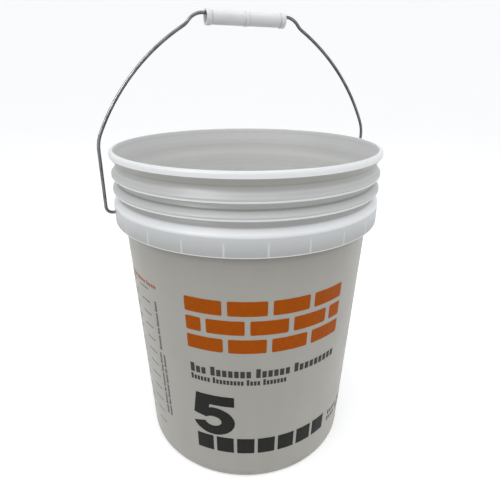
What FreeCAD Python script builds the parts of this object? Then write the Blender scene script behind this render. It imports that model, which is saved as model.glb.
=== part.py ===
"""Open-head utility pail: a moulded tub, a wire bail hinged in its skirt, and a roller grip.

Frame: millimetres, +Z up. The origin is the centre of the ring that the pail stands on,
and the bail's hinge axis runs along X. The bail is drawn upright.
"""
import FreeCAD, Part
import math
import os
import Sketcher

SIZES = {
    # tub
    "pail_height": 368.0,
    "foot_wall_radius": 128.5,      # outer wall, carried down to the floor the pail stands on
    "mouth_wall_radius": 144.5,     # outer wall, carried up to the top of the rim
    "wall_thickness": 2.2,
    "floor_thickness": 2.4,
    "floor_lift": 4.1,              # underside of the floor above the standing ring
    "floor_corner_radius": 6.0,
    "foot_edge_radius": 4.0,
    "foot_ring_width": 6.5,
    "foot_ring_draft": 1.5,
    "foot_gusset_reach": 18.0,
    "foot_gusset_count": 24,
    "foot_gusset_split": 3.0,       # its outer end stops at this part of the ring's width and lift
    "gate_radius": 4.0,
    "gate_depth": 1.2,
    # rim
    "rim_radius": 151.0,
    "rim_depth": 6.1,
    "rim_groove_drop": 15.2,        # top of the rim to the bottom of the groove under it
    "rim_groove_round": 6.0,
    "rim_inner_round": 1.2,
    "rim_outer_round": 2.6,
    "rim_lip_round": 0.6,
    "mouth_flare": 4.4,             # inner wall leans out by this much at the mouth
    "mouth_flare_depth": 17.0,
    "mouth_flare_round": 25.0,
    # two stiffening rings under the rim
    "ring_radius": 150.4,
    "ring_edge": 3.6,
    "ring_edge_round": 1.3,
    "ring_shoulder": 6.8,           # rise of the lower ring's sloped top
    "ring_undercut": 2.6,           # fall of a ring's underside towards the wall
    "ring_root_round": 4.0,
    "upper_ring_drop": 25.4,        # top of the pail to the middle of the upper ring's edge
    "ring_spacing": 15.95,          # between the middles of the two rings' edges
    # hollow skirt that carries the bail
    "skirt_radius": 151.0,
    "skirt_thickness": 2.0,
    "skirt_gap": 14.85,             # middle of the lower ring's edge to the shoulder's corner
    "skirt_length": 21.0,
    "skirt_root_gap": 1.85,         # foot of the lower ring to the shoulder's root on the wall
    "hollow_corner_fall": 0.7,      # shoulder's corner to the hollow's, in skirt thicknesses
    "hollow_root_fall": 1.25,       # shoulder's root to the hollow's, in skirt thicknesses
    "root_round_fit": 0.95,         # largest root round, as a part of what just fits
    "skirt_corner_round": 2.2,
    "skirt_root_round": 4.0,
    "skirt_lip_round": 0.7,
    "gusset_count": 24,
    "gusset_thickness": 1.6,
    "gusset_lift": 2.5,             # gusset's lower edge above the skirt's lip
    # bail sockets in the skirt
    "ear_drop": 7.4,                # shoulder's corner to the hinge axis
    "socket_diameter": 11.5,
    "socket_depth": 3.0,            # boss behind the skirt
    "hinge_clearance": 0.08,        # radial, wire in its socket
    "head_clearance": 0.3,
    "head_side_room": 0.8,
    # bail
    "wire_diameter": 3.4,
    "head_diameter": 6.4,
    "head_thickness": 1.8,
    "leg_gap": 9.0,                 # skirt to the leg's centre line
    "ear_bend_radius": 6.5,
    "leg_length": 65.5,             # hinge axis to the start of the shoulder bend
    "shoulder_radius": 40.0,
    "arch_radius": 230.0,
    "kink_radius": 22.0,
    "top_bend_radius": 19.0,
    "top_bend_angle": 51.9,
    "bail_height": 194.3,           # hinge axis to the straight under the grip
    "grip_end_gap": 2.5,            # end of the grip to the start of the top bend
    # grip
    "grip_length": 87.5,
    "grip_diameter": 13.8,
    "grip_bore": 10.8,
    "grip_flange_diameter": 15.5,
    "grip_flange_width": 4.5,
    "grip_flange_taper": 1.8,
    "grip_ring_diameter": 14.9,
    "grip_ring_width": 3.2,
    "grip_edge_round": 0.6,
    "grip_hang_gap": 0.1,           # wire to the top of the bore
}

doc = FreeCAD.newDocument("pail")
sheet = doc.addObject("Spreadsheet::Sheet", "sizes")
for row, (name, value) in enumerate(SIZES.items(), start=1):
    sheet.set(f"A{row}", name)
    sheet.set(f"B{row}", str(value))
    sheet.setAlias(f"B{row}", name)
doc.recompute()


def size(text):
    """Write an expression in plain size names, and get it back naming the sheet's cells."""
    for name in sorted(SIZES, key=len, reverse=True):
        text = text.replace(name, f"<{list(SIZES).index(name)}>")
    for index, name in enumerate(SIZES):
        text = text.replace(f"<{index}>", f"sizes.{name}")
    return text


def number(text):
    """Value of a size expression."""
    return float(sheet.evalExpression(size(text)))


def wall_at(height):
    """Radius of the outer wall at a height, as an expression."""
    return (
        f"(foot_wall_radius + (mouth_wall_radius - foot_wall_radius)"
        f" * ({height}) / pail_height)"
    )


# ---------------------------------------------------------------- drawing helpers
def new_body(label):
    body = doc.addObject("PartDesign::Body", label)
    body.Label = label
    return body


def origin_feature(body, role):
    return next(f for f in body.Origin.OriginFeatures if f.Role == role)


def new_sketch(body, name, plane, offset=None):
    """Sketch on an origin plane of its body, moved along the plane's normal by an expression."""
    sketch = body.newObject("Sketcher::SketchObject", name)
    sketch.AttachmentSupport = (origin_feature(body, plane), [""])
    sketch.MapMode = "FlatFace"
    if offset:
        sketch.setExpression("AttachmentOffset.Base.z", size(offset))
    return sketch


def bind(sketch, constraint, expression):
    """Add a dimension and tie it to the sheet."""
    index = sketch.addConstraint(constraint)
    sketch.setExpression(f"Constraints[{index}]", size(expression))


def pin(sketch, geometry, point, x=None, y=None):
    """Place a point of the sketch by expressions measured from the sketch's origin."""
    for kind, text, axis in (("DistanceX", x, -2), ("DistanceY", y, -1)):
        if text == "0":
            sketch.addConstraint(Sketcher.Constraint("PointOnObject", geometry, point, axis))
        elif text:
            value = number(text)
            dimension = Sketcher.Constraint(kind, -1, 1, geometry, point, value)
            bind(sketch, dimension, text)


def draw_outline(sketch, corners):
    """Closed outline of straight edges through corners given as pairs of expressions."""
    points = [FreeCAD.Vector(number(x), number(y), 0) for x, y in corners]
    count = len(points)
    for index, point in enumerate(points):
        sketch.addGeometry(Part.LineSegment(point, points[(index + 1) % count]), False)
    sketch.addConstraint([
        Sketcher.Constraint("Coincident", index, 2, (index + 1) % count, 1)
        for index in range(count)
    ])
    for index, (x, y) in enumerate(corners):
        pin(sketch, index, 1, x, y)


def draw_circle(sketch, diameter, x, y):
    centre = FreeCAD.Vector(number(x), number(y), 0)
    circle = Part.Circle(centre, FreeCAD.Vector(0, 0, 1), number(diameter) / 2)
    sketch.addGeometry(circle, False)
    bind(sketch, Sketcher.Constraint("Diameter", 0, number(diameter)), diameter)
    pin(sketch, 0, 3, x, y)


def finish(feature):
    """Compute a new feature, and refuse it if it makes no sound shape."""
    doc.recompute()
    if not feature.isValid() or feature.Shape.isNull() or not feature.Shape.isValid():
        raise RuntimeError(f"{feature.Name} makes no sound shape")
    return feature


def revolve(body, name, sketch, role):
    feature = body.newObject("PartDesign::Revolution", name)
    feature.Profile = sketch
    feature.ReferenceAxis = (origin_feature(body, role), [""])
    feature.Angle = 360
    return finish(feature)


def pad(body, name, sketch, length, symmetric=False):
    feature = body.newObject("PartDesign::Pad", name)
    feature.Profile = sketch
    feature.setExpression("Length", size(length))
    if symmetric:
        feature.SideType = "Symmetric"
    return finish(feature)


def pocket(body, name, sketch, length, reverse=False):
    """Cut along the sketch's normal reversed, or along the normal itself if reverse is set."""
    before = body.Shape.Volume
    feature = body.newObject("PartDesign::Pocket", name)
    feature.Profile = sketch
    feature.Reversed = reverse
    feature.setExpression("Length", size(length))
    finish(feature)
    if not body.Shape.Volume < before:
        raise RuntimeError(f"{name} cuts nothing")
    return feature


def polar(body, name, originals, count):
    feature = body.newObject("PartDesign::PolarPattern", name)
    feature.Originals = originals
    feature.Axis = (origin_feature(body, "Z_Axis"), [""])
    feature.Angle = 360
    feature.setExpression("Occurrences", size(count))
    body.Tip = feature
    return finish(feature)


def mirror(body, name, originals, plane):
    feature = body.newObject("PartDesign::Mirrored", name)
    feature.Originals = originals
    feature.MirrorPlane = (origin_feature(body, plane), [""])
    body.Tip = feature
    return finish(feature)


def circle_edges(shape, axis, places):
    """Names of the round edges whose distance along the axis and radius match the places."""
    found = []
    for along, radius in places:
        match = [
            f"Edge{index}" for index, edge in enumerate(shape.Edges, start=1)
            if isinstance(edge.Curve, Part.Circle)
            and abs(edge.Curve.Radius - number(radius)) < 0.01
            and abs(edge.Curve.Center.dot(axis) - number(along)) < 0.01
        ]
        if not match:
            raise RuntimeError(f"no round edge at {along}, {radius}")
        found += match
    return found


def round_edges(body, base, name, radius, axis, places):
    feature = body.newObject("PartDesign::Fillet", name)
    feature.Base = (base, circle_edges(base.Shape, axis, places))
    feature.setExpression("Radius", size(radius))
    return finish(feature)


# ---------------------------------------------------------------- tub
UPRIGHT = FreeCAD.Vector(0, 0, 1)
SIDEWAYS = FreeCAD.Vector(1, 0, 0)
UPPER_RING = "(pail_height - upper_ring_drop)"
LOWER_RING = "(pail_height - upper_ring_drop - ring_spacing)"
SKIRT_TOP = f"({LOWER_RING} - skirt_gap)"
SKIRT_LIP = f"({SKIRT_TOP} - skirt_length)"
SKIRT_ROOT = f"({LOWER_RING} - ring_edge / 2 - ring_undercut - skirt_root_gap)"
RIM_GROOVE = "(pail_height - rim_groove_drop)"
LOWER_RING_ROOT = f"({LOWER_RING} + ring_edge / 2 + ring_shoulder)"
FLARE_START = "(pail_height - mouth_flare_depth)"
MOUTH_EDGE = "(mouth_wall_radius - wall_thickness + mouth_flare)"
EAR_HEIGHT = f"({SKIRT_TOP} - ear_drop)"
INSIDE_FLOOR = "(floor_lift + floor_thickness)"
FOOT_RING_INSIDE = "(foot_wall_radius - foot_edge_radius - foot_ring_width)"
SOCKET_FACE = "(skirt_radius - skirt_thickness - socket_depth)"


def root_round():
    """Radius of the shoulder's root: the wanted one, or what fits under the lower ring."""
    run = f"(skirt_radius - {wall_at(SKIRT_ROOT)})"
    rise = f"({SKIRT_ROOT} - {SKIRT_TOP})"
    most = f"root_round_fit * skirt_root_gap * {run} / (sqrt({run} ^ 2 + {rise} ^ 2) - {rise})"
    return f"min(skirt_root_round; {most})"


def on_wall(height):
    """Corner where something meets the outer wall."""
    return (wall_at(height), height)


def ring_corners(middle, root):
    """Corners of a stiffening ring, from its sloped top's root to the wall below it."""
    bottom = f"({middle} - ring_edge / 2)"
    return [
        on_wall(root),
        ("ring_radius", f"({middle} + ring_edge / 2)"),
        ("ring_radius", bottom),
        on_wall(f"({bottom} - ring_undercut)"),
    ]


def skirt_corners():
    """Corners of the skirt's outside, its lip, and the hollow behind it."""
    inside = "(skirt_radius - skirt_thickness)"
    return [
        on_wall(SKIRT_ROOT),
        ("skirt_radius", SKIRT_TOP),
        ("skirt_radius", SKIRT_LIP),
        (inside, SKIRT_LIP),
        (inside, f"{SKIRT_TOP} - skirt_thickness * hollow_corner_fall"),
        on_wall(f"({SKIRT_ROOT} - skirt_thickness * hollow_root_fall)"),
    ]


def tub_shell(body):
    """Wall, floor, rim, rings and skirt as one turned section."""
    sketch = new_sketch(body, "tub_section", "XZ_Plane")
    draw_outline(sketch, [
        ("0", INSIDE_FLOOR),
        (f"{wall_at(INSIDE_FLOOR)} - wall_thickness", INSIDE_FLOOR),
        (f"{wall_at(FLARE_START)} - wall_thickness", FLARE_START),
        (MOUTH_EDGE, "pail_height"),
        ("rim_radius", "pail_height"),
        ("rim_radius", "pail_height - rim_depth"),
        *ring_corners(UPPER_RING, RIM_GROOVE),
        *ring_corners(LOWER_RING, LOWER_RING_ROOT),
        *skirt_corners(),
        ("foot_wall_radius", "0"),
        (FOOT_RING_INSIDE, "0"),
        (f"{FOOT_RING_INSIDE} - foot_ring_draft", "floor_lift"),
        ("gate_radius", "floor_lift"),
        ("gate_radius", "floor_lift - gate_depth"),
        ("0", "floor_lift - gate_depth"),
    ])
    return revolve(body, "tub_shell", sketch, "Z_Axis")


def tub_rounds(body, base):
    """Rounded edges of the rim, rings, skirt, floor and foot."""
    ring_edges = [
        f"({middle} {side} ring_edge / 2)" for middle in (UPPER_RING, LOWER_RING)
        for side in ("+", "-")
    ]
    rounds = [
        ("mouth_flare_round", [(FLARE_START, f"{wall_at(FLARE_START)} - wall_thickness")]),
        ("rim_inner_round", [("pail_height", MOUTH_EDGE)]),
        ("rim_outer_round", [("pail_height", "rim_radius")]),
        ("rim_lip_round", [("pail_height - rim_depth", "rim_radius")]),
        ("rim_groove_round", [(RIM_GROOVE, wall_at(RIM_GROOVE))]),
        ("ring_edge_round", [(height, "ring_radius") for height in ring_edges]),
        ("ring_root_round", [(LOWER_RING_ROOT, wall_at(LOWER_RING_ROOT))]),
        (root_round(), [(SKIRT_ROOT, wall_at(SKIRT_ROOT))]),
        ("skirt_corner_round", [(SKIRT_TOP, "skirt_radius")]),
        ("skirt_lip_round", [
            (SKIRT_LIP, "skirt_radius"), (SKIRT_LIP, "skirt_radius - skirt_thickness"),
        ]),
        ("floor_corner_radius", [(INSIDE_FLOOR, f"{wall_at(INSIDE_FLOOR)} - wall_thickness")]),
        ("foot_edge_radius", [("0", "foot_wall_radius")]),
    ]
    for count, (radius, places) in enumerate(rounds, start=1):
        base = round_edges(body, base, f"tub_round_{count}", radius, UPRIGHT, places)
    return base


def skirt_gussets(body):
    """Upright webs that tie the skirt to the wall, evenly round the tub."""
    sketch = new_sketch(body, "gusset_section", "XZ_Plane")
    low = f"({SKIRT_LIP} + gusset_lift)"
    high = f"({SKIRT_ROOT} - skirt_thickness)"
    outer = "(skirt_radius - skirt_thickness / 2)"
    draw_outline(sketch, [
        (f"{wall_at(low)} - wall_thickness / 2", low),
        (outer, low),
        (outer, f"{SKIRT_TOP} - skirt_thickness"),
        (f"{wall_at(high)} - wall_thickness / 2", high),
    ])
    web = pad(body, "gusset", sketch, "gusset_thickness", symmetric=True)
    return polar(body, "gussets", [web], "gusset_count")


def foot_gussets(body):
    """Short webs under the floor that brace the standing ring."""
    sketch = new_sketch(body, "foot_gusset_section", "XZ_Plane")
    root = "(floor_lift + floor_thickness / 2)"
    inner = f"({FOOT_RING_INSIDE} - foot_gusset_reach)"
    outer = f"({FOOT_RING_INSIDE} + foot_ring_width / foot_gusset_split)"
    draw_outline(sketch, [
        (inner, root),
        (inner, "floor_lift"),
        (f"{FOOT_RING_INSIDE} - foot_ring_draft", "floor_lift / foot_gusset_split"),
        (outer, "floor_lift / foot_gusset_split"),
        (outer, root),
    ])
    web = pad(body, "foot_gusset", sketch, "gusset_thickness", symmetric=True)
    return polar(body, "foot_gussets", [web], "foot_gusset_count")


def bail_sockets(body):
    """Bored bosses behind the skirt, with room behind each for the wire's head."""
    boss_sketch = new_sketch(body, "socket_boss_circle", "YZ_Plane", SOCKET_FACE)
    draw_circle(boss_sketch, "socket_diameter", "0", EAR_HEIGHT)
    boss = pad(body, "socket_boss", boss_sketch, "socket_depth + skirt_thickness / 2")
    mirror(body, "far_boss", [boss], "YZ_Plane")

    room_sketch = new_sketch(body, "head_room_circle", "YZ_Plane", SOCKET_FACE)
    draw_circle(room_sketch, "head_diameter + 2 * head_side_room", "0", EAR_HEIGHT)
    depth = f"{SOCKET_FACE} - {wall_at(EAR_HEIGHT)} - head_clearance"
    head_room = pocket(body, "head_room", room_sketch, depth)
    mirror(body, "far_head_room", [head_room], "YZ_Plane")

    bore_sketch = new_sketch(body, "socket_bore_circle", "YZ_Plane", "skirt_radius + leg_gap / 2")
    draw_circle(bore_sketch, "wire_diameter + 2 * hinge_clearance", "0", EAR_HEIGHT)
    bore = pocket(body, "socket_bore", bore_sketch, f"skirt_radius + leg_gap / 2 - {SOCKET_FACE}")
    return mirror(body, "far_socket_bore", [bore], "YZ_Plane")


def make_pail_body():
    body = new_body("pail_body")
    shell = tub_shell(body)
    tub_rounds(body, shell)
    skirt_gussets(body)
    foot_gussets(body)
    bail_sockets(body)
    return body


# ---------------------------------------------------------------- bail
LEG_OUT = "(skirt_radius + leg_gap)"
HEAD_START = f"({SOCKET_FACE} - head_clearance - head_thickness)"
GRIP_STRAIGHT = "(grip_length / 2 + grip_end_gap)"


def arc(centre, radius, start, end):
    """Arc drawn counter-clockwise from the direction of start to that of end."""
    angles = [math.atan2(p.y - centre.y, p.x - centre.x) for p in (start, end)]
    circle = Part.Circle(centre, FreeCAD.Vector(0, 0, 1), radius)
    return Part.ArcOfCircle(circle, angles[0], angles[1])


def towards(start, target, distance):
    return start + (target - start).normalize() * distance


def draw_half_bail(sketch):
    """Centre line of half the bail: ear bend, leg, shoulder, arch, kink and top straight.

    The arch touches the shoulder bend from outside and the reversed kink bend, so its
    centre is where two circles about theirs cross.
    """
    leg = number(LEG_OUT)
    rise = number("leg_length")
    top = number("bail_height")
    straight = number(GRIP_STRAIGHT)
    ear, shoulder, arch, kink, bend = (number(name) for name in (
        "ear_bend_radius", "shoulder_radius", "arch_radius", "kink_radius", "top_bend_radius"))
    turn = math.radians(number("top_bend_angle"))

    ear_centre = FreeCAD.Vector(leg - ear, ear, 0)
    shoulder_centre = FreeCAD.Vector(leg - shoulder, rise, 0)
    top_centre = FreeCAD.Vector(straight, top - bend, 0)
    outward = FreeCAD.Vector(math.sin(turn), math.cos(turn), 0)
    kink_end = top_centre + outward * bend
    kink_centre = top_centre + outward * (bend + kink)

    span = kink_centre - shoulder_centre
    first, second = arch - shoulder, arch + kink
    along = (first ** 2 - second ** 2 + span.Length ** 2) / (2 * span.Length)
    across = math.sqrt(first ** 2 - along ** 2)
    direction = FreeCAD.Vector(span).normalize()
    sideways = FreeCAD.Vector(-direction.y, direction.x, 0)
    arch_centre = shoulder_centre + direction * along + sideways * across
    arch_start = towards(arch_centre, shoulder_centre, arch)
    arch_end = towards(arch_centre, kink_centre, arch)

    ear_start = FreeCAD.Vector(leg - ear, 0, 0)
    leg_start = FreeCAD.Vector(leg, ear, 0)
    leg_end = FreeCAD.Vector(leg, rise, 0)
    top_end = FreeCAD.Vector(straight, top, 0)
    pieces = [
        Part.LineSegment(FreeCAD.Vector(number(HEAD_START), 0, 0), ear_start),
        arc(ear_centre, ear, ear_start, leg_start),
        Part.LineSegment(leg_start, leg_end),
        arc(shoulder_centre, shoulder, leg_end, arch_start),
        arc(arch_centre, arch, arch_start, arch_end),
        arc(kink_centre, kink, kink_end, arch_end),
        arc(top_centre, bend, kink_end, top_end),
        Part.LineSegment(top_end, FreeCAD.Vector(0, top, 0)),
    ]
    for piece in pieces:
        sketch.addGeometry(piece, False)

    # joints between neighbours: (piece, its end, next piece, its end); the kink runs backwards
    joints = [(0, 2, 1, 1), (1, 2, 2, 1), (2, 2, 3, 1), (3, 2, 4, 1), (4, 2, 5, 2),
              (5, 1, 6, 1), (6, 2, 7, 1)]
    sketch.addConstraint([Sketcher.Constraint("Tangent", *joint) for joint in joints])
    sketch.addConstraint(Sketcher.Constraint("Horizontal", 0))
    sketch.addConstraint(Sketcher.Constraint("Vertical", 2))
    sketch.addConstraint(Sketcher.Constraint("Horizontal", 7))
    radii = {1: "ear_bend_radius", 3: "shoulder_radius", 4: "arch_radius",
             5: "kink_radius", 6: "top_bend_radius"}
    for piece, name in radii.items():
        bind(sketch, Sketcher.Constraint("Radius", piece, number(name)), name)
    bind(sketch, Sketcher.Constraint("Angle", 6, turn), "top_bend_angle * 1 deg")
    pin(sketch, 0, 1, x=HEAD_START, y="0")
    pin(sketch, 2, 2, x=LEG_OUT, y="leg_length")
    pin(sketch, 7, 1, x=GRIP_STRAIGHT)
    pin(sketch, 7, 2, x="0", y="bail_height")


def make_bail_wire():
    """Round wire with an upset head on each end, drawn about its hinge axis."""
    body = new_body("bail_wire")
    path = new_sketch(body, "half_bail", "XZ_Plane")
    draw_half_bail(path)
    section = new_sketch(body, "wire_section", "YZ_Plane", HEAD_START)
    draw_circle(section, "wire_diameter", "0", "0")
    wire = body.newObject("PartDesign::AdditivePipe", "half_wire")
    wire.Profile = section
    wire.Spine = (path, [])
    finish(wire)
    head_sketch = new_sketch(body, "head_circle", "YZ_Plane", HEAD_START)
    draw_circle(head_sketch, "head_diameter", "0", "0")
    head = pad(body, "head", head_sketch, "head_thickness")
    mirror(body, "whole_wire", [wire, head], "YZ_Plane")
    body.setExpression("Placement.Base.z", size(EAR_HEIGHT))
    return body


# ---------------------------------------------------------------- grip
def make_bail_grip():
    """Hollow roller with a raised flange at each end and a ring at mid length."""
    body = new_body("bail_grip")
    sketch = new_sketch(body, "grip_section", "XZ_Plane")
    half = "grip_length / 2"
    flange = "grip_flange_diameter / 2"
    barrel = "grip_diameter / 2"
    ring = "grip_ring_diameter / 2"
    right = [
        ("grip_ring_width / 2", ring),
        ("grip_ring_width / 2 + grip_edge_round", barrel),
        (f"{half} - grip_flange_width - grip_flange_taper", barrel),
        (f"{half} - grip_flange_width", flange),
        (half, flange),
        (half, "grip_bore / 2"),
    ]
    left = [(f"-({x})", y) for x, y in reversed(right)]
    draw_outline(sketch, right + left)
    tube = revolve(body, "tube", sketch, "X_Axis")
    ends = [(half, flange), (f"-({half})", flange), (half, "grip_bore / 2"),
            (f"-({half})", "grip_bore / 2")]
    ends += [("grip_ring_width / 2", ring), ("-(grip_ring_width / 2)", ring)]
    round_edges(body, tube, "tube_edges", "grip_edge_round", SIDEWAYS, ends)
    hang = "(grip_bore - wire_diameter) / 2 - grip_hang_gap"
    body.setExpression("Placement.Base.z", size(f"{EAR_HEIGHT} + bail_height - ({hang})"))
    return body


# ---------------------------------------------------------------- checks and files
pieces = [make_pail_body(), make_bail_wire(), make_bail_grip()]
doc.recompute()

for item in doc.Objects:
    if "Invalid" in item.State or "Error" in item.State:
        raise RuntimeError(f"{item.Name}: {item.State}")
for piece in pieces:
    if piece.Shape.isNull() or not piece.Shape.isValid():
        raise RuntimeError(f"{piece.Label} has no sound shape")
    if len(piece.Shape.Solids) != 1:
        raise RuntimeError(f"{piece.Label} is {len(piece.Shape.Solids)} solids")
if abs(pieces[0].Shape.optimalBoundingBox().ZMax - number("pail_height")) > 0.01:
    raise RuntimeError("the tub has lost its rim")

os.makedirs("parts", exist_ok=True)
for piece in pieces:
    piece.Shape.exportStep(f"parts/{piece.Label}.step")
    box = piece.Shape.optimalBoundingBox()
    print(f"{piece.Label}: {piece.Shape.Volume / 1000:.1f} cm3, "
          f"{box.XLength:.1f} x {box.YLength:.1f} x {box.ZLength:.1f} mm")
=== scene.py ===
import math

import bmesh
import bpy
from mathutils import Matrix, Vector
from mathutils.bvhtree import BVHTree


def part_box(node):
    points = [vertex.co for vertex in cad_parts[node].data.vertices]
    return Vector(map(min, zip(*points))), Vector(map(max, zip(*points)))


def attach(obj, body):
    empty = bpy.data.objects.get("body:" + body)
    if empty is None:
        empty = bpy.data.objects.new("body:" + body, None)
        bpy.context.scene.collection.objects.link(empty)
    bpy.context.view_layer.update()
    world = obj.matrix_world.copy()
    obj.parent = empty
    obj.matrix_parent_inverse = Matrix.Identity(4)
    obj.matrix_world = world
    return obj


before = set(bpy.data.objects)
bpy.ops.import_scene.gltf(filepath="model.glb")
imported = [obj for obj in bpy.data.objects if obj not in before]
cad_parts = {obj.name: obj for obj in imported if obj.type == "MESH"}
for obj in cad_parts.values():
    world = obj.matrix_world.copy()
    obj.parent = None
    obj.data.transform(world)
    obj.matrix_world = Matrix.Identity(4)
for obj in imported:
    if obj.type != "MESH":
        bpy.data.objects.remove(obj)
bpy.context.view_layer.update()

# Looks of an open-head mixing pail: translucent moulded tub with a screen-printed front,
# steel wire bail and plastic roller grip. Metres; the pail stands on z = 0, and the bail's
# hinge axis is X.

MM = 0.001
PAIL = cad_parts["pail_body"]
RIM_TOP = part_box("pail_body")[1].z
RIM_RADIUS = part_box("pail_body")[1].x
SKIRT_HIGH = RIM_TOP - 56.2 * MM    # shoulder corner of the skirt
SKIRT_LOW = RIM_TOP - 77.2 * MM     # lip of the skirt
RING_LOWS = (RIM_TOP - 27.2 * MM, RIM_TOP - 43.15 * MM)    # lower edges of the two rings
EDGE_RADIUS = RIM_RADIUS - 0.9 * MM
FOOT_RADIUS = 128.5 * MM            # outer wall at the foot
FLOOR_TOP = 6.5 * MM
TAPER = 16 / 368                    # outward lean of the wall for each unit of height
MOUTH_FLARE = 4.4 * MM              # outward lean of the inner wall at the mouth
FLARE_DEPTH = 17 * MM
GUSSETS = 24
QUART = 0.946                       # litres

WALL_TINT = (0.412, 0.395, 0.353)
SHADED_TINT = (0.20, 0.19, 0.16)
# top of the rim, kept duller than the painted light on its outer face
RIM_UNDERSIDE_SHADE_TINT = (0.40, 0.39, 0.35)
# painted shade for the underside of the rim
CREST_TINT = (0.80, 0.81, 0.81)
SLOPE_TINT = (0.60, 0.605, 0.59)
INSIDE_TINT = (0.76, 0.76, 0.74)
MOUTH_TINT = (0.63, 0.63, 0.62)
# the skirt's face: painted shade low down and painted light near its top
PAINTED_FACE_SHADE_TINT = (0.50, 0.505, 0.49)
PAINTED_FACE_LIGHT_TINT = (0.74, 0.755, 0.75)
# milky white of thick plastic, also used as painted light on the edges, the neck and below the
# rings
PALE_AND_PAINTED_LIGHT_TINT = (0.95, 0.96, 0.96)
LOW_DARKENING_TINT = (0.345, 0.305, 0.25)
SCRATCH_TINT = (0.70, 0.70, 0.68)


# ---------------------------------------------------------------- node helpers
class Shader:
    """A material under construction: adds nodes and joins them by name."""

    def __init__(self, name):
        self.material = bpy.data.materials.new(name)
        self.material.use_nodes = True
        self.nodes = self.material.node_tree.nodes
        self.links = self.material.node_tree.links
        self.surface = next(n for n in self.nodes if n.type == "BSDF_PRINCIPLED")
        self.place = self.add("ShaderNodeTexCoord").outputs["Object"]

    def add(self, kind, **settings):
        node = self.nodes.new(kind)
        for key, value in settings.items():
            setattr(node, key, value)
        return node

    def put(self, node, **inputs):
        """Set a node's inputs: a socket is linked, and anything else is a value."""
        for key, value in inputs.items():
            socket = node.inputs[key.replace("_", " ")]
            if isinstance(value, bpy.types.NodeSocket):
                self.links.new(value, socket)
            else:
                socket.default_value = value
        return node

    def stretch(self, x, y, z):
        mapping = self.add("ShaderNodeMapping")
        self.put(mapping, Vector=self.place)
        mapping.inputs["Scale"].default_value = (x, y, z)
        return mapping.outputs["Vector"]

    def noise(self, scale, detail=3.0, roughness=0.55, vector=None, distortion=0.0):
        node = self.add("ShaderNodeTexNoise")
        self.put(node, Vector=vector or self.place, Scale=scale, Detail=detail)
        self.put(node, Roughness=roughness, Distortion=distortion)
        return node.outputs["Fac"]

    def spread(self, value, low, high, to_low=0.0, to_high=1.0, smooth=False):
        node = self.add("ShaderNodeMapRange")
        if smooth:
            node.interpolation_type = "SMOOTHSTEP"
        self.put(node, Value=value)
        for key, number in zip(("From Min", "From Max", "To Min", "To Max"),
                               (low, high, to_low, to_high)):
            node.inputs[key].default_value = number
        return node.outputs["Result"]

    def math(self, operation, first, second=0.0, third=None):
        node = self.add("ShaderNodeMath", operation=operation)
        values = (first, second) if third is None else (first, second, third)
        for socket, value in zip(node.inputs, values):
            if isinstance(value, bpy.types.NodeSocket):
                self.links.new(value, socket)
            else:
                socket.default_value = value
        return node.outputs["Value"]

    def mix(self, share, first, second, blend="MIX"):
        node = self.add("ShaderNodeMix", data_type="RGBA", blend_type=blend)
        sockets = {s.identifier: s for s in node.inputs}
        for key, value in (("Factor_Float", share), ("A_Color", first), ("B_Color", second)):
            if isinstance(value, bpy.types.NodeSocket):
                self.links.new(value, sockets[key])
            elif key == "Factor_Float":
                sockets[key].default_value = value
            else:
                sockets[key].default_value = (*value, 1.0)
        return next(s for s in node.outputs if s.identifier == "Result_Color")

    def bump(self, height, distance, strength=1.0, normal=None):
        node = self.add("ShaderNodeBump")
        self.put(node, Height=height, Distance=distance, Strength=strength)
        if normal:
            self.put(node, Normal=normal)
        return node.outputs["Normal"]

    def finish(self, **inputs):
        self.put(self.surface, **inputs)
        return self.material


def use_material(obj, material):
    obj.data.materials.clear()
    obj.data.materials.append(material)


# ---------------------------------------------------------------- tub plastic
def band(shader, value, low, high, soft):
    """1 between two values, fading to 0 over a soft distance outside them."""
    rise = shader.spread(value, low - soft, low, smooth=True)
    fall = shader.spread(value, high, high + soft, 1.0, 0.0, smooth=True)
    return shader.math("MULTIPLY", rise, fall)


class TubPlace:
    """Where a shaded point of the tub is, in the measures that its colours follow."""

    def __init__(self, shader):
        split = shader.add("ShaderNodeSeparateXYZ")
        shader.put(split, Vector=shader.place)
        x, y, self.z = (split.outputs[axis] for axis in "XYZ")
        flat = shader.add("ShaderNodeCombineXYZ")
        shader.put(flat, X=x, Y=y)
        length = shader.add("ShaderNodeVectorMath", operation="LENGTH")
        shader.put(length, Vector=flat.outputs["Vector"])
        self.radius = length.outputs["Value"]
        self.turn = shader.math("ARCTAN2", y, x)
        # how far a point stands outside the wall's own taper
        taper = shader.math("MULTIPLY_ADD", self.z, TAPER, FOOT_RADIUS)
        self.proud = shader.math("SUBTRACT", self.radius, taper)
        self.outer = shader.spread(self.radius, EDGE_RADIUS - 0.9 * MM, EDGE_RADIUS, smooth=True)
        below = shader.spread(self.z, SKIRT_HIGH, SKIRT_HIGH - 2 * MM)
        self.face = shader.math("MULTIPLY", self.outer, below)
        flare = shader.spread(self.z, RIM_TOP - FLARE_DEPTH, RIM_TOP, 0.0, MOUTH_FLARE)
        inside = shader.math("SUBTRACT", self.proud, flare)
        inside = shader.spread(inside, -1.7 * MM, -1.2 * MM, 1.0, 0.0)
        above = shader.spread(self.z, FLOOR_TOP - 2 * MM, FLOOR_TOP)
        self.inside = shader.math("MULTIPLY", inside, above)


def brighter(tint, share):
    return tuple(share * value for value in tint)


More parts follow.
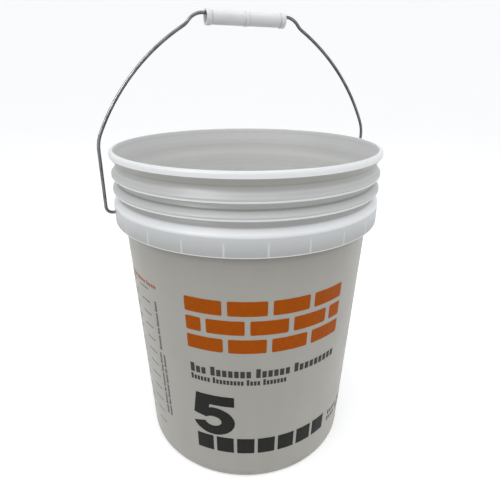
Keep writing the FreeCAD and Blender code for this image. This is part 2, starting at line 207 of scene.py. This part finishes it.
def wall_tints(shader, at):
    """Clouded wall, its shade under the skirt, and the paler inside."""
    cloud = shader.spread(shader.noise(9.0, 4.0), 0.3, 0.7)
    thin = shader.mix(cloud, WALL_TINT, brighter(WALL_TINT, 1.07))
    flow = shader.noise(1.0, 3.0, 0.6, vector=shader.stretch(55, 55, 4))
    thin = shader.mix(shader.spread(flow, 0.35, 0.75, 0.0, 0.3), thin,
                      brighter(WALL_TINT, 1.16))
    shade = shader.spread(at.z, SKIRT_LOW - 13 * MM, SKIRT_LOW - 2 * MM, 0.0, 0.45, smooth=True)
    tint = shader.mix(shade, thin, SHADED_TINT)
    ribbed = shader.spread(at.proud, 1.0 * MM, 4.0 * MM, smooth=True)
    tint = shader.mix(ribbed, tint, SLOPE_TINT)

    inner = shader.mix(cloud, INSIDE_TINT, brighter(INSIDE_TINT, 1.06))
    mouth = shader.spread(at.z, RIM_TOP - 30 * MM, RIM_TOP - 12 * MM, smooth=True)
    inner = shader.mix(mouth, inner, MOUTH_TINT)
    for middle in (*RING_LOWS, SKIRT_HIGH + 6 * MM):
        seen = band(shader, at.z, middle, middle + 5 * MM, 4 * MM)
        inner = shader.mix(shader.math("MULTIPLY", seen, 0.22), inner, SLOPE_TINT)
    return shader.mix(at.inside, tint, inner)


def underside_tints(shader, at, tint):
    """Undersides: painted shade just below the rim, and painted light below each ring and on the
    neck, standing in for light through the plastic.
    """
    neck_side = shader.spread(at.proud, 0.5 * MM, 1.5 * MM)
    # Painted shade: the band just under the rim is darkened.
    under = band(shader, at.z, RIM_TOP - 10 * MM, RIM_TOP - 6.2 * MM, 3 * MM)
    under = shader.math("MULTIPLY", under, neck_side)
    tint = shader.mix(shader.math("MULTIPLY", under, 0.8), tint, RIM_UNDERSIDE_SHADE_TINT)
    # Painted light: a pale band below each ring, standing in for light through the plastic.
    ring_side = shader.spread(at.proud, -0.8 * MM, -0.3 * MM)
    for low in RING_LOWS:
        painted_ring_glow = band(shader, at.z, low - 6 * MM, low - 0.6 * MM, 1.5 * MM)
        painted_ring_glow = shader.math("MULTIPLY", painted_ring_glow, ring_side)
        tint = shader.mix(shader.math("MULTIPLY", painted_ring_glow, 0.4), tint, PALE_AND_PAINTED_LIGHT_TINT)
    # Painted light: a paler band on the neck between the rim and the upper ring.
    painted_neck_light = band(shader, at.z, RIM_TOP - 19 * MM, RIM_TOP - 15 * MM, 2 * MM)
    painted_neck_light = shader.math("MULTIPLY", painted_neck_light, neck_side)
    return shader.mix(shader.math("MULTIPLY", painted_neck_light, 0.25), tint, PALE_AND_PAINTED_LIGHT_TINT)


def edge_tints(shader, at, tint):
    """Painted light on free edges: the rim's outer face, the lower lip of each ring, and the
    skirt's shoulder and lip; the skirt's face painted lighter towards its top.
    """
    # Painted light: the rim's outer face is given a paler tint than its top, as if lit from the
    # side; the rim's milky white is its own.
    crest = shader.spread(at.radius, EDGE_RADIUS - 3.2 * MM, EDGE_RADIUS - 1.6 * MM, smooth=True)
    rim = shader.spread(at.z, RIM_TOP - 6.4 * MM, RIM_TOP - 5.9 * MM)
    tint = shader.mix(shader.math("MULTIPLY", crest, rim), tint, PALE_AND_PAINTED_LIGHT_TINT)
    top = shader.spread(at.z, RIM_TOP - 2.4 * MM, RIM_TOP - 0.6 * MM, smooth=True)
    tint = shader.mix(shader.math("MULTIPLY", crest, top), tint, CREST_TINT)
    # Painted light: a bright band along the lower lip of each ring, for light through the thin
    # plastic.
    for low in RING_LOWS:
        lip = band(shader, at.z, low, low + 1.0 * MM, 1.1 * MM)
        tint = shader.mix(shader.math("MULTIPLY", lip, at.outer), tint, PALE_AND_PAINTED_LIGHT_TINT)
    # Painted light and shade: the skirt's face lighter towards its top, darker towards its lip.
    face_light_share = shader.spread(at.z, SKIRT_LOW + 2 * MM, SKIRT_HIGH)
    tint = shader.mix(at.face, tint, shader.mix(face_light_share, PAINTED_FACE_SHADE_TINT, PAINTED_FACE_LIGHT_TINT))
    # Painted highlight on the skirt's upward-facing shoulder.
    painted_shoulder_light = band(shader, at.z, SKIRT_HIGH - 1.0 * MM, SKIRT_HIGH + 5.0 * MM, 2.0 * MM)
    shoulder = shader.spread(at.proud, 2.0 * MM, 5.0 * MM, smooth=True)
    tint = shader.mix(shader.math("MULTIPLY", painted_shoulder_light, shoulder), tint, PALE_AND_PAINTED_LIGHT_TINT)
    # Painted light: a bright line along the skirt's lip.
    lip = band(shader, at.z, SKIRT_LOW, SKIRT_LOW + 0.8 * MM, 0.6 * MM)
    return shader.mix(shader.math("MULTIPLY", lip, at.face), tint, PALE_AND_PAINTED_LIGHT_TINT)


def gusset_lines(shader, at):
    """Gussets seen as paler upright lines in the skirt's face."""
    step = shader.math("MULTIPLY", at.turn, GUSSETS / math.tau)
    off = shader.math("ABSOLUTE", shader.math("SUBTRACT", shader.math("FRACT", step), 0.5))
    line = shader.spread(off, 0.460, 0.498, smooth=True)
    seen = band(shader, at.z, SKIRT_LOW + 1 * MM, SKIRT_HIGH - 10 * MM, 6 * MM)
    line = shader.math("MULTIPLY", shader.math("MULTIPLY", line, seen), at.face)
    return shader.math("MULTIPLY", line, shader.spread(shader.noise(7.0), 0.3, 0.7, 0.15, 0.6))


def handling_marks(shader):
    """Fine scratches, in patches."""
    scratch = shader.noise(1.0, 2.0, 0.5, vector=shader.stretch(420, 420, 60), distortion=1.2)
    scratch = shader.spread(scratch, 0.66, 0.72, smooth=True)
    worn = shader.spread(shader.noise(14.0, 2.0), 0.5, 0.68, smooth=True)
    return shader.math("MULTIPLY", scratch, worn)


def pail_plastic():
    """Natural high-density polyethylene. Its thin wall looks grey with the dark inside behind it,
    and its thick or free edges milky white; the gussets show faintly through the skirt. Painted
    light brightens the rim, the ring lips, the neck, the bands below the rings and the skirt's
    shoulder, lip and upper face; painted shade darkens under the rim and the skirt."""
    shader = Shader("pail_plastic")
    at = TubPlace(shader)
    tint = wall_tints(shader, at)
    tint = underside_tints(shader, at, tint)
    tint = edge_tints(shader, at, tint)
    tint = shader.mix(gusset_lines(shader, at), tint, PALE_AND_PAINTED_LIGHT_TINT)
    marks = handling_marks(shader)
    tint = shader.mix(shader.math("MULTIPLY", marks, 0.12), tint, SCRATCH_TINT)
    # Darker towards the bottom, in blotches.
    low_darkening = shader.spread(at.z, 0.0, 14 * MM, 0.75, 0.0, smooth=True)
    low_darkening = shader.math("MULTIPLY", low_darkening, shader.spread(shader.noise(60.0, 5.0), 0.35, 0.7))
    tint = shader.mix(low_darkening, tint, LOW_DARKENING_TINT)

    gloss = shader.spread(shader.noise(30.0, 4.0), 0.3, 0.7, 0.36, 0.48)
    gloss = shader.math("ADD", gloss, shader.math("MULTIPLY", marks, 0.2))
    gloss = shader.math("ADD", gloss, shader.math("MULTIPLY", at.inside, 0.3))
    normal = shader.bump(shader.noise(22.0, 1.0), 0.35 * MM, 0.35)
    normal = shader.bump(shader.noise(900.0, 2.0), 0.03 * MM, 0.5, normal)
    normal = shader.bump(shader.math("SUBTRACT", 1.0, marks), 0.05 * MM, 0.6, normal)

    shader.surface.inputs["Subsurface Weight"].default_value = 0.4
    shader.surface.inputs["Subsurface Radius"].default_value = (0.005, 0.005, 0.0045)
    shader.surface.inputs["Subsurface Scale"].default_value = 1.0
    shader.surface.inputs["IOR"].default_value = 1.5
    return shader.finish(Base_Color=tint, Roughness=gloss, Normal=normal)


def bail_steel():
    """Drawn wire with a dull zinc film: streaks along it, and darker handled spots."""
    shader = Shader("bail_steel")
    blotch = shader.noise(70.0, 4.0, 0.65)
    colour = shader.mix(shader.spread(blotch, 0.35, 0.7), (0.09, 0.09, 0.092), (0.20, 0.20, 0.205))
    draw = shader.noise(1.0, 2.0, 0.5, vector=shader.stretch(160, 2600, 160))
    colour = shader.mix(shader.spread(draw, 0.4, 0.7, 0.0, 0.4), colour, (0.30, 0.30, 0.31))
    gloss = shader.spread(blotch, 0.3, 0.7, 0.14, 0.26)
    normal = shader.bump(shader.noise(160.0, 2.0), 0.01 * MM, 0.2)
    shader.surface.inputs["Metallic"].default_value = 1.0
    return shader.finish(Base_Color=colour, Roughness=gloss, Normal=normal)


def grip_plastic():
    """White moulded roller, slightly grubby where the hand holds it, with painted shade in the
    creases beside its flanges and middle ring.
    """
    shader = Shader("grip_plastic")
    cloud = shader.spread(shader.noise(45.0, 4.0), 0.3, 0.7)
    colour = shader.mix(cloud, (0.77, 0.775, 0.765), (0.83, 0.835, 0.83))
    grime = shader.spread(shader.noise(120.0, 5.0, 0.7), 0.60, 0.78, 0.0, 0.18)
    colour = shader.mix(grime, colour, (0.62, 0.60, 0.56))
    split = shader.add("ShaderNodeSeparateXYZ")
    shader.put(split, Vector=shader.place)
    along = shader.math("ABSOLUTE", split.outputs["X"])
    # Painted shade: darker bands in the creases inside the end flanges and beside the middle ring.
    for low, high in ((37.4 * MM, 38.6 * MM), (1.9 * MM, 2.4 * MM)):
        crease_shade = shader.math("MULTIPLY", band(shader, along, low, high, 0.5 * MM), 0.45)
        colour = shader.mix(crease_shade, colour, (0.46, 0.45, 0.42))
    gloss = shader.spread(shader.noise(90.0, 3.0), 0.3, 0.7, 0.32, 0.48)
    normal = shader.bump(shader.noise(1200.0, 2.0), 0.03 * MM, 0.5)
    normal = shader.bump(shader.noise(60.0, 2.0), 0.15 * MM, 0.35, normal)
    shader.surface.inputs["Subsurface Weight"].default_value = 0.2
    shader.surface.inputs["Subsurface Radius"].default_value = (0.003, 0.003, 0.0028)
    shader.surface.inputs["Subsurface Scale"].default_value = 1.0
    return shader.finish(Base_Color=colour, Roughness=gloss, Normal=normal)


def ink(name, thin, thick):
    """Screen-printed ink: uneven coverage and a faint mesh in its surface."""
    shader = Shader(name)
    cover = shader.spread(shader.noise(260.0, 5.0, 0.7), 0.3, 0.7)
    colour = shader.mix(cover, thin, thick)
    worn = shader.spread(shader.noise(900.0, 3.0, 0.8), 0.70, 0.78, 0.0, 0.5)
    colour = shader.mix(worn, colour, (0.62, 0.61, 0.58))
    gloss = shader.spread(cover, 0.0, 1.0, 0.5, 0.38)
    shader.surface.inputs["Specular IOR Level"].default_value = 0.06
    normal = shader.bump(shader.noise(1600.0, 2.0), 0.02 * MM, 0.4)
    return shader.finish(Base_Color=colour, Roughness=gloss, Normal=normal)


# ---------------------------------------------------------------- printed front
PRINT_FRONT = math.radians(-22.6)   # the way the printed front faces, from -Y towards +X
INK_BELOW = 0.06 * MM               # ink reaches into the wall, so that no gap shows
INK_ABOVE = 0.07 * MM
STRIP = 0.7                         # degrees of wall that one flat strip of ink spans

tub = bmesh.new()
tub.from_mesh(PAIL.data)
WALL = BVHTree.FromBMesh(tub)
tub.free()


def outward(turn):
    """Direction out of the wall, turn degrees to the right of the print's middle line."""
    angle = PRINT_FRONT + math.radians(turn)
    return Vector((math.sin(angle), -math.cos(angle), 0))


def wall_radius(turn, height):
    """Radius of the outer wall there, both in metres, met from outside."""
    away = outward(turn)
    start = away * (RIM_RADIUS * 1.2) + Vector((0, 0, height))
    hit = WALL.ray_cast(start, -away)[0]
    return Vector((hit.x, hit.y)).length


def inner_radius(height):
    """Radius of the inner wall, met from the pail's axis."""
    hit = WALL.ray_cast(Vector((0, 0, height)), outward(0))[0]
    return Vector((hit.x, hit.y)).length


def degrees_of(length, height):
    """Degrees of wall that a length in millimetres covers at a height in millimetres."""
    return math.degrees(length * MM / wall_radius(0, height * MM))


def print_piece(name, outlines, material):
    """Ink on the wall: closed outlines of (degrees to the right, millimetres up)."""
    mesh = bmesh.new()
    for outline in outlines:
        mesh.faces.new([mesh.verts.new((turn, 0, up)) for turn, up in outline])
    mesh.normal_update()
    bmesh.ops.triangulate(mesh, faces=mesh.faces[:])
    low = min(v.co.x for v in mesh.verts)
    high = max(v.co.x for v in mesh.verts)
    cuts = math.ceil((high - low) / STRIP)
    for cut in range(1, cuts):
        everything = mesh.verts[:] + mesh.edges[:] + mesh.faces[:]
        at = (low + (high - low) * cut / cuts, 0, 0)
        bmesh.ops.bisect_plane(mesh, geom=everything, plane_co=at, plane_no=(1, 0, 0))
    inner = mesh.verts[:]
    made = bmesh.ops.extrude_face_region(mesh, geom=mesh.faces[:], use_keep_orig=True)
    outer = [item for item in made["geom"] if isinstance(item, bmesh.types.BMVert)]
    for verts, lift in ((inner, -INK_BELOW), (outer, INK_ABOVE)):
        for vert in verts:
            turn, height = vert.co.x, vert.co.z * MM
            radius = wall_radius(turn, height) + lift
            vert.co = outward(turn) * radius + Vector((0, 0, height))
    bmesh.ops.recalc_face_normals(mesh, faces=mesh.faces[:])
    data = bpy.data.meshes.new(name)
    mesh.to_mesh(data)
    mesh.free()
    piece = bpy.data.objects.new(name, data)
    bpy.context.scene.collection.objects.link(piece)
    use_material(piece, material)
    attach(piece, "pail")
    return piece


def bar(left, right, low, high, corner=0.0):
    """Rectangle, its corners rounded by a length in millimetres."""
    if not corner:
        return [(left, low), (right, low), (right, high), (left, high)]
    across = degrees_of(corner, (low + high) / 2)
    centres = [(right - across, high - corner, 0), (left + across, high - corner, 90),
               (left + across, low + corner, 180), (right - across, low + corner, 270)]
    points = []
    for turn, up, start in centres:
        for step in range(4):
            angle = math.radians(start + 30 * step)
            points.append((turn + across * math.cos(angle), up + corner * math.sin(angle)))
    return points


def brick_panel(left, right, low, high, courses=3, bricks=4, joint=5.5):
    """Courses of bricks in running bond, each cut to end flush with the panel."""
    gap = degrees_of(joint, (low + high) / 2)
    tall = (high - low - joint * (courses - 1)) / courses
    wide = (right - left - gap * (bricks - 1)) / bricks
    outlines = []
    for course in range(courses):
        bottom = low + course * (tall + joint)
        start = left - (wide + gap) / 2 * (course % 2)
        for brick in range(bricks + 1):
            first = max(left, start + brick * (wide + gap))
            last = min(right, start + brick * (wide + gap) + wide)
            if last - first > gap:
                outlines.append(bar(first, last, bottom, bottom + tall, corner=1.6))
    return outlines


def word_blocks(left, right, low, high, words, fill=0.62, x_height=0.74):
    """A line of plain blocks in place of words, taller at the start of each."""
    space = 0.6
    advance = (right - left) / (sum(words) + space * (len(words) - 1))
    outlines = []
    turn = left
    for letters in words:
        for letter in range(letters):
            top = high if letter == 0 else low + (high - low) * x_height
            outlines.append(bar(turn, turn + advance * fill, low, top))
            turn += advance
        turn += advance * space
    return outlines


def upright_blocks(left, right, low, high, words):
    """The same line of blocks turned to read upwards."""
    space = 0.8
    advance = (high - low) / (sum(words) + space * (len(words) - 1))
    outlines = []
    up = low
    for letters in words:
        for letter in range(letters):
            start = left if letter == 0 else left + (right - left) * 0.26
            outlines.append(bar(start, right, up, up + advance * 0.6))
            up += advance
        up += advance * space
    return outlines


def figure_five(left, right, low, high):
    """A plain heavy 5: top bar, stem, and a bowl of two arcs."""
    stroke, radius, centre = 0.27, 0.355, (0.39, 0.345)
    outer = [(centre[0] + radius * 1.12 * math.cos(math.radians(a)),
              centre[1] + radius * math.sin(math.radians(a)))
             for a in range(88, -168, -12)]
    hole = radius - stroke * 0.86
    inner = [(centre[0] + hole * 1.25 * math.cos(math.radians(a)),
              centre[1] + hole * math.sin(math.radians(a)))
             for a in range(-168, 150, 12)]
    points = [(0.09, 1.0), (0.78, 1.0), (0.78, 0.76), (0.335, 0.76), (0.32, 0.675)]
    points += outer + inner + [(0.02, 0.47)]
    return [[(left + (right - left) * x / 0.80, low + (high - low) * (y + 0.01) / 1.01)
             for x, y in points]]


def fill_heights(volumes):
    """Heights in millimetres that the pail fills to, for rising volumes in litres."""
    floor = WALL.ray_cast(Vector((0, 0, RIM_TOP)), Vector((0, 0, -1)))[0].z
    step = 1.0 * MM
    height, held, heights = floor, 0.0, []
    for volume in volumes:
        while held < volume / 1000:
            held += math.pi * inner_radius(height + step / 2) ** 2 * step
            height += step
        heights.append(height / MM)
    return heights


def number_outlines(text, left, middle, tall):
    """Outlines of a small printed number in the built-in typeface."""
    curve = bpy.data.curves.new("number", "FONT")
    curve.body = text
    curve.size = tall * 1.45
    curve.align_y = "CENTER"
    holder = bpy.data.objects.new("number", curve)
    bpy.context.scene.collection.objects.link(holder)
    bpy.context.view_layer.update()
    mesh = bpy.data.meshes.new_from_object(holder)
    bpy.data.objects.remove(holder)
    bpy.data.curves.remove(curve)
    outlines = [
        [(left + degrees_of(mesh.vertices[i].co.x, middle), middle + mesh.vertices[i].co.y)
         for i in face.vertices]
        for face in mesh.polygons
    ]
    bpy.data.meshes.remove(mesh)
    return outlines


def print_front():
    dark = ink("print_dark", (0.027, 0.026, 0.024), (0.019, 0.018, 0.017))
    orange = ink("print_orange", (0.47, 0.098, 0.002), (0.39, 0.076, 0.001))
    grey = ink("print_grey", (0.070, 0.066, 0.060), (0.055, 0.052, 0.047))

    print_piece("print_bricks", brick_panel(-26, 46, 180, 241), orange)
    print_piece("print_title", word_blocks(-25.5, 46.5, 148.5, 160, (3, 7, 6, 9), fill=0.74),
                grey)
    print_piece("print_subtitle", word_blocks(-25.5, 19, 138.6, 146.2, (6, 9, 4, 7), fill=0.72),
                grey)
    print_piece("print_five", figure_five(-26.3, -4.8, 63.4, 121), dark)
    print_piece("print_unit",
                word_blocks(-24.8, 47, 38.5, 61, (7,), fill=0.84, x_height=1.0),
                dark)
    print_piece("print_maker", word_blocks(50, 84, 50, 57, (5, 3, 6))
                + word_blocks(50, 78, 40, 47, (4, 7)), grey)

    first, last = 2, 13
    short = 0.27                    # part of a quart that each mark sits below its number
    marks = fill_heights([QUART * (number - short) for number in range(first, last + 1)])
    ticks = [bar(-56.2, -48.5, mark - 0.45, mark + 0.45) for mark in marks]
    print_piece("print_scale", ticks, dark)
    numbers = []
    for number, mark in zip(range(first, last + 1), marks):
        numbers += number_outlines(str(number), -66.0, mark, 6.0)
    print_piece("print_numbers", numbers, dark)
    print_piece("print_heading", word_blocks(-66, -41.6, 234.6, 239.6, (5, 7, 6)),
                orange)
    print_piece("print_notes", upright_blocks(-45, -43, 157, 219, (9, 4, 8, 6))
                + upright_blocks(-46, -44.2, 63, 152, (6, 8, 3, 9, 5, 7))
                + upright_blocks(-43.2, -41.4, 63, 152, (7, 4, 9, 6, 3, 8)), grey)


# ---------------------------------------------------------------- stage, light and camera
def make_stage():
    """Round pale floor that sweeps up into a backdrop on every side."""
    shader = Shader("studio_floor")
    patch = shader.noise(2.5, 3.0)
    colour = shader.mix(patch, (0.86, 0.86, 0.86), (0.89, 0.89, 0.89))
    shader.surface.inputs["Emission Color"].default_value = (1, 1, 1, 1)
    shader.surface.inputs["Emission Strength"].default_value = 0.36
    shader.finish(Base_Color=colour, Roughness=0.8)
    flat, bend, rise = 3.4, 1.6, 5.0
    profile = [(0.0, 0.0), (flat, 0.0)]
    for step in range(1, 13):
        angle = math.radians(90 / 12 * step)
        profile.append((flat + bend * math.sin(angle), bend - bend * math.cos(angle)))
    profile.append((flat + bend, rise))
    mesh = bmesh.new()
    verts = [mesh.verts.new((along, 0, up)) for along, up in profile]
    edges = [mesh.edges.new(pair) for pair in zip(verts, verts[1:])]
    bmesh.ops.spin(mesh, geom=verts + edges, cent=(0, 0, 0), axis=(0, 0, 1),
                   angle=math.tau, steps=64, use_merge=True)
    bmesh.ops.remove_doubles(mesh, verts=mesh.verts[:], dist=0.001)
    bmesh.ops.recalc_face_normals(mesh, faces=mesh.faces[:])
    data = bpy.data.meshes.new("studio_floor")
    mesh.to_mesh(data)
    mesh.free()
    for face in data.polygons:
        face.use_smooth = True
    floor = bpy.data.objects.new("studio_floor", data)
    bpy.context.scene.collection.objects.link(floor)
    floor.visible_diffuse = False
    floor.visible_shadow = False
    use_material(floor, shader.material)


def make_light(name, place, target, wide, tall, power):
    data = bpy.data.lights.new(name, "AREA")
    data.shape = "ELLIPSE"
    data.size = wide
    data.size_y = tall
    data.energy = power
    light = bpy.data.objects.new(name, data)
    bpy.context.scene.collection.objects.link(light)
    light.location = place
    light.rotation_mode = "QUATERNION"
    light.rotation_quaternion = (Vector(target) - Vector(place)).to_track_quat("-Z", "Y")
    return light


def make_lights():
    world = bpy.data.worlds.new("studio")
    bpy.context.scene.world = world
    world.use_nodes = True
    sky = next(n for n in world.node_tree.nodes if n.type == "BACKGROUND")
    sky.inputs["Color"].default_value = (0.95, 0.97, 1.0, 1.0)
    sky.inputs["Strength"].default_value = 0.68
    make_light("overhead", (-0.2, -0.3, 2.0), (0, 0, 0.3), 1.8, 1.8, 15.5)
    strip = make_light("side_strip", (-1.6, -0.75, 1.6), (0, 0, 0.4), 0.4, 1.9, 42)
    strip.visible_diffuse = False    # only for the glints on the wire and the shoulder


def make_camera():
    """Seen from a little above, facing the middle of the printed front."""
    distance, height, pitch = 0.4784, 0.4393, math.radians(21.24)
    data = bpy.data.cameras.new("camera")
    data.sensor_width = 36
    data.lens = 29.63
    data.shift_x = 0.0085
    data.shift_y = -0.0267
    camera = bpy.data.objects.new("camera", data)
    bpy.context.scene.collection.objects.link(camera)
    away = outward(0)
    camera.location = away * distance + Vector((0, 0, height))
    look = -away * math.cos(pitch) - Vector((0, 0, math.sin(pitch)))
    camera.rotation_mode = "QUATERNION"
    camera.rotation_quaternion = look.to_track_quat("-Z", "Y")
    bpy.context.scene.camera = camera


# ---------------------------------------------------------------- the scene
for node, material in (("pail_body", pail_plastic()), ("bail_wire", bail_steel()),
                       ("bail_grip", grip_plastic())):
    use_material(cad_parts[node], material)
print_front()
make_stage()
make_lights()
make_camera()
bpy.context.scene.view_settings.view_transform = "Standard"
